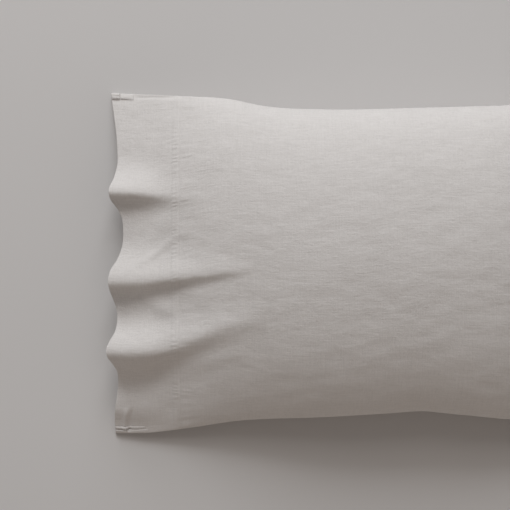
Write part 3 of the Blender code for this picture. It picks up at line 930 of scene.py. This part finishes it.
INSERT_START, INSERT_END = HEM_DEPTH + 0.0164, LENGTH - SEAM_WIDTH - 0.004
INSERT_FROM_EDGE = 0.013
UNDER_FACE, ABOVE_BACK = 0.0045, 0.0016
LEAST_ROOM = 0.0019
TICKING, PIPING_RADIUS = 0.0004, 0.0019


def insert_shape(along, across, side):
    """Points of the insert's outer surface, before its cloth is simulated."""
    along, across = np.broadcast_arrays(along, across)
    turn = math.pi * across
    case_half = half_width(along, across < 0.5)
    y = (case_half - INSERT_FROM_EDGE) * np.cos(turn)
    case_turn = np.arccos(np.clip(y / case_half, -1, 1))
    middle = seam_height(along)
    swell = np.abs(np.sin(turn)) ** 0.65
    for end, reach in ((INSERT_START, 0.085), (INSERT_END, 0.075)):
        s = np.clip(np.abs(along - end) / reach, 0, 1)
        swell = swell * np.sqrt(1 - (1 - s) ** 2.4)
    if side == FACE:
        limit = middle + face_rise(along) * section(case_turn, along) - UNDER_FACE
    else:
        drop = back_drop(along) * np.sin(case_turn)
        limit = np.maximum(middle - SEAM_GAP - drop, 0) + ABOVE_BACK
    z = middle + (limit - middle) * swell
    pull = np.sin(turn) * 0.007
    x = MOUTH_X + along + pull * np.exp(-(along - INSERT_START) / 0.05)
    x = x - pull * np.exp(-(INSERT_END - along) / 0.05)
    return np.stack([x, y, z], axis=-1)


INSERT_LENGTH = INSERT_END - INSERT_START
INSERT_ALONG = INSERT_START + INSERT_LENGTH * (1 - np.cos(np.linspace(0, math.pi, 150))) / 2
INSERT_ROWS = np.linspace(0, 1, 121)


def insert_skin(side):
    """One side of the insert with its soft dents, as a grid of points."""
    points = insert_shape(INSERT_ALONG[:, None], INSERT_ROWS[None, :], side)
    inward = -normals_of(points, side)
    share_along = np.sin(math.pi * (INSERT_ALONG - INSERT_START) / INSERT_LENGTH)
    share = np.sin(math.pi * INSERT_ROWS)[None, :] * share_along[:, None]
    dent = np.zeros(share.shape)
    for i, along in enumerate(INSERT_ALONG):
        for j in range(len(INSERT_ROWS)):
            place = Vector((along * 11, points[i, j, 1] * 16, 40.0 + 9 * side))
            fine = Vector((along * 36, points[i, j, 1] * 60, 52.0 + 9 * side))
            dent[i, j] = 0.0009 * (0.5 + noise.noise(place)) + 0.0004 * (0.5 + noise.noise(fine))
    return points + inward * (dent * np.minimum(1, share / 0.3))[..., None]


def inside_case(points, side):
    """These points, kept clear of the case's face above them and its back below them."""
    along, y = points[..., 0] - MOUTH_X, points[..., 1]
    across = np.arccos(np.clip(y / half_width(along, y > 0), -1, 1)) / math.pi
    limit = on_skin(side, along, across)[..., 2] - side * LEAST_ROOM
    nearer = np.minimum if side == FACE else np.maximum
    points[..., 2] = nearer(points[..., 2], limit)
    return points


insert_skins = {side: insert_skin(side) for side in (FACE, BACK)}
insert_moves = gathered(list(insert_skins.values()), growth=0.055, pressure=1.2, cap=0.008)
for side, moves in zip((FACE, BACK), insert_moves):
    insert_skins[side] = inside_case(insert_skins[side] + moves, side)
ticking = woven("white_ticking", (0.80, 0.79, 0.765), (0.72, 0.71, 0.685), 0.00035, 0.3, 0.00003,
                roughness=0.85, sheen=0.2)


def make_ticking(name, side, node):
    points = insert_skins[side]
    inward = -normals_of(points, side)
    steps = np.linalg.norm(np.diff(points, axis=1, prepend=points[:, :1]), axis=-1)
    u, v = INSERT_ALONG[:, None], np.cumsum(steps, axis=1)
    points = points + inward * TICKING / 2
    panel = cloth(name, points, u, v, TICKING, ticking, flip=side == FACE)
    finish_piece(panel, "insert", "ticking", node)


make_ticking("ticking_face_cloth", FACE, "ticking_face_panel")
make_ticking("ticking_back_cloth", BACK, "ticking_back_panel")


def evenly(points, step):
    """The same closed loop of points, spaced evenly and with its corners eased."""
    points = np.concatenate([points, points[:1]])
    walked = np.concatenate([[0], np.cumsum(np.linalg.norm(np.diff(points, axis=0), axis=1))])
    places = np.linspace(0, walked[-1], round(walked[-1] / step), endpoint=False)
    loop = np.stack([np.interp(places, walked, points[:, i]) for i in range(3)], axis=-1)
    for _ in range(6):
        loop = (np.roll(loop, 1, axis=0) + 2 * loop + np.roll(loop, -1, axis=0)) / 4
    return loop


piping_cotton = woven("white_cotton_piping", (0.76, 0.75, 0.72), (0.68, 0.67, 0.64), 0.0004, 0.3,
                      0.00004, roughness=0.85, sheen=0.2)


def make_piping():
    points = insert_skins[FACE]
    loop = np.concatenate([points[:, 0], points[-1, 1:], points[-2::-1, -1], points[0, -2:0:-1]])
    loop = evenly(loop, 0.0035)
    forward = np.roll(loop, -1, axis=0) - np.roll(loop, 1, axis=0)
    forward /= np.linalg.norm(forward, axis=1, keepdims=True)
    outward = np.cross(forward, (0.0, 0.0, -1.0))
    outward /= np.linalg.norm(outward, axis=1, keepdims=True)
    if (outward[:, :2] * loop[:, :2]).sum() < 0:
        outward = -outward
    upward = np.cross(outward, forward)
    centre = loop + outward * PIPING_RADIUS * 0.8
    turns = np.linspace(0, 2 * math.pi, 12, endpoint=False)
    cosines, sines = np.cos(turns)[None, :, None], np.sin(turns)[None, :, None]
    rings = centre[:, None] + PIPING_RADIUS * (outward[:, None] * cosines + upward[:, None] * sines)
    piping = piece_of("corded_edge", [tube(rings, looped=True)], piping_cotton)
    finish_piece(piping, "insert", "piping", "ticking_piping")


make_piping()

# ---- The insert's closing stitches and label ----
# The opening that it was filled through is closed by a row of stitches at one end of its face,
# and a blank tape label is sewn down beside it by its four edges.


def on_insert(along, across, depth=0.0):
    """Points this deep inside the insert's face."""
    grid = insert_skins[FACE]
    normals = normals_of(grid, FACE)
    return read_off(grid, normals, INSERT_ALONG, INSERT_ROWS, along, across, depth)


def insert_row(along, y):
    """The row of the insert's face that lies at this Y."""
    return np.arccos(y / (half_width(along, y > 0) - INSERT_FROM_EDGE)) / math.pi


white_thread = make_thread("white_cotton_thread", (0.80, 0.79, 0.76))


def make_closing_stitch():
    y = np.linspace(0.090, -0.090, 120)
    along = np.full_like(y, INSERT_START + 0.0055)
    line = line_on(on_insert, along, insert_row(along, y), 0.0)
    stitch = sewn("closing_stitches", [line], white_thread, Pitch=0.0030, Length=0.0025)
    finish_piece(stitch, "insert", "piping", "ticking_closing_stitch")


def make_insert_label():
    start, length, low, width = INSERT_START + 0.022, 0.036, 0.084, 0.045
    alongs = np.linspace(start, start + length, 28)[:, None]
    ys = np.linspace(low + width, low, 36)[None, :]
    wave = 0.0002 * np.sin(ys * 260) * np.sin(alongs * 190)
    points = on_insert(alongs, insert_row(alongs, ys), -0.0004 + wave)
    label = cloth("insert_label_tape", points, alongs, ys, 0.0004, label_tape, flip=True)
    finish_piece(label, "insert", "label_tape", "insert_label")
    rim = 0.0025
    a0, a1, y0, y1 = start + rim, start + length - rim, low + width - rim, low + rim
    corners = [(a0, y0), (a0, y1), (a1, y1), (a1, y0), (a0, y0)]
    border = []
    for here, there in zip(corners, corners[1:]):
        along, y = (np.linspace(*ends, 30) for ends in zip(here, there))
        border.append(line_on(on_insert, along, insert_row(along, y), -0.0007))
    edge = sewn("insert_label_stitches", border, white_thread, Pitch=0.0026, Length=0.0021,
                Radius=0.00014)
    finish_piece(edge, "insert", "label_tape")


make_closing_stitch()
make_insert_label()

# ---- The insert's filling ----
# One mass of white polyester fibre, which fills the ticking and takes its crowned shape.


def make_fibre():
    s = Shader("white_fibre_filling")
    place = s.node("ShaderNodeTexCoord").outputs["Object"]
    tufts = s.noise(place, scale=70.0, detail=6.0, roughness=0.75)
    strands = s.noise(s.scaled(place, (900.0, 500.0, 700.0)), detail=4.0, roughness=0.7)
    both = s.math("MULTIPLY", s.math("ADD", tufts, strands), 0.5)
    return s.look({"Base Color": s.mixed(both, (0.74, 0.74, 0.73), (0.86, 0.86, 0.85)),
                   "Normal": s.bump(both, 0.002, 0.9), "Roughness": 0.95, "Sheen Weight": 0.4})


def make_fill():
    clearance, end_room = 0.0018, 0.003
    inset_ends = (INSERT_ALONG > INSERT_START + end_room) & (INSERT_ALONG < INSERT_END - end_room)
    middle = seam_height(INSERT_ALONG)[:, None]
    rings = []
    for side, order, outer in ((FACE, 1, np.maximum), (BACK, -1, np.minimum)):
        grid = insert_skins[side] - normals_of(insert_skins[side], side) * clearance
        grid[..., 2] = outer(grid[..., 2], middle)
        rings.append(grid[inset_ends][:, ::order])
    rings = np.concatenate([rings[0], rings[1][:, 1:-1]], axis=1)
    fill = piece_of("fibre_filling", [tube(rings)], make_fibre())
    finish_piece(fill, "insert", "filling", "fill")


make_fill()

# ---- Floor, light and camera ----
# A plain pale surface under one large soft light from the pillow's +Y side, a weaker one overhead,
# a faint warm one from the other side and a weak even fill. The camera looks straight down.


def make_floor():
    half, low = 6, -0.0004
    matt = Shader("pale_floor").look({"Base Color": (0.63, 0.61, 0.60, 1.0), "Roughness": 0.95,
                                      "Specular IOR Level": 0.1})
    corners = np.array([[(x, y, low) for y in (-half, half)] for x in (-half, half)])
    add("floor", grid_mesh("floor", corners, 0.0, 0.0), matt)


def soft_light(name, size, energy, color, zenith, turn, reach):
    """A square soft light, aimed at the pillow from this far off."""
    light = bpy.data.lights.new(name, "AREA")
    light.size, light.energy, light.color = size, energy, color
    holder = put_in_scene(name, light)
    zenith, turn = math.radians(zenith), math.radians(turn)
    level = math.sin(zenith)
    away = Vector((-math.sin(turn) * level, math.cos(turn) * level, math.cos(zenith)))
    holder.location = Vector((-0.1, 0.0, 0.05)) + away * reach
    holder.rotation_euler = away.to_track_quat("Z", "Y").to_euler()


def make_light():
    soft_light("key", 3.4, 185.0, (0.91, 0.96, 1.0), 62, 6, 5.0)
    soft_light("overhead", 2.4, 48.0, (1.0, 0.965, 0.94), 40, 12, 5.0)
    soft_light("bounce", 1.6, 11.0, (1.0, 0.84, 0.70), 80, 186, 3.5)
    world = bpy.data.worlds.new("fill_light")
    world.use_nodes = True
    sky = world.node_tree.nodes["Background"]
    put(world.node_tree, sky.inputs["Color"], (1.0, 0.92, 0.86, 1.0))
    put(world.node_tree, sky.inputs["Strength"], 0.232)
    bpy.context.scene.world = world
    bpy.context.scene.view_settings.view_transform = "Standard"


def make_camera():
    camera = bpy.data.cameras.new("camera")
    camera.sensor_width, camera.lens = 36.0, 93.8
    holder = put_in_scene("camera", camera)
    holder.location = (-0.163, 0.0115, 1.9)
    bpy.context.scene.camera = holder


make_floor()
make_light()
make_camera()
